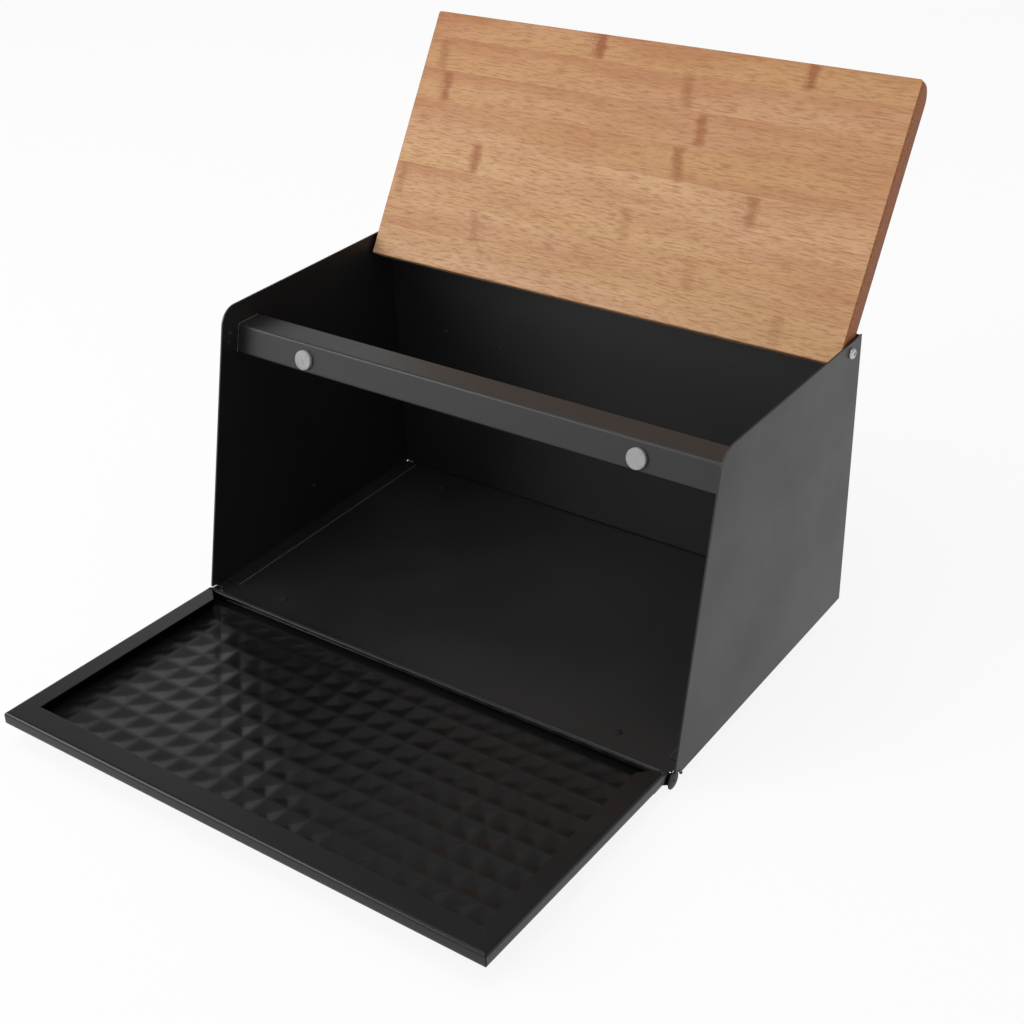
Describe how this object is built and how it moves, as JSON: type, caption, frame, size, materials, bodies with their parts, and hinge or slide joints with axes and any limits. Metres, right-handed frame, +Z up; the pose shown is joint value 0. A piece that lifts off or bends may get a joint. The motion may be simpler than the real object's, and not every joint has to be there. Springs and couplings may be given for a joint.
{
  "type": "bread box",
  "caption": "Bread box of folded black steel with a drop-down quilted front door and a hinged bamboo board as its lid.",
  "frame": {"origin": "on the ground, under the middle of the box's length and width as it stands open", "axes": "+X to the right side panel, +Y to the back, +Z up"},
  "size_m": [0.3446, 0.44, 0.3148],
  "materials": {
    "black_coated_steel": "matte powder coat",
    "bamboo": "satin oil",
    "magnet_steel": "nickel plated",
    "screw_steel": "satin",
    "hinge_steel": "zinc plated",
    "brass": "plain",
    "black_plastic": "matte",
    "rubber": "matte"
  },
  "bodies": {
    "case": {"left_side_panel": "black_coated_steel", "right_side_panel": "black_coated_steel", "back_panel": "black_coated_steel", "floor_panel": "black_coated_steel", "crossbar": "black_coated_steel", "left_magnet": "magnet_steel", "right_magnet": "magnet_steel", "hinge_rod": "hinge_steel", "left_hinge_washer": "black_plastic", "right_hinge_washer": "black_plastic", "left_hinge_cap": "black_plastic", "right_hinge_cap": "black_plastic", "left_front_foot": "rubber", "left_rear_foot": "rubber", "right_front_foot": "rubber", "right_rear_foot": "rubber"},
    "lid": {"lid_board": "bamboo", "left_pivot_screw": "screw_steel", "right_pivot_screw": "screw_steel", "left_thread_insert": "brass", "right_thread_insert": "brass", "left_spacer_washer": "black_plastic", "right_spacer_washer": "black_plastic"},
    "door": {"door_panel": "black_coated_steel"}
  },
  "joints": [
    {"name": "door_hinge", "type": "hinge", "parent": "case", "child": "door", "pos_m": [0, -0.05111, 0.00545], "axis": [-1, 0, 0], "range_deg": [0, 100.86]},
    {"name": "lid_hinge", "type": "hinge", "parent": "case", "child": "lid", "pos_m": [0, 0.13739, 0.1805], "axis": [1, 0, 0], "range_deg": [0, 121.99]}
  ]
}
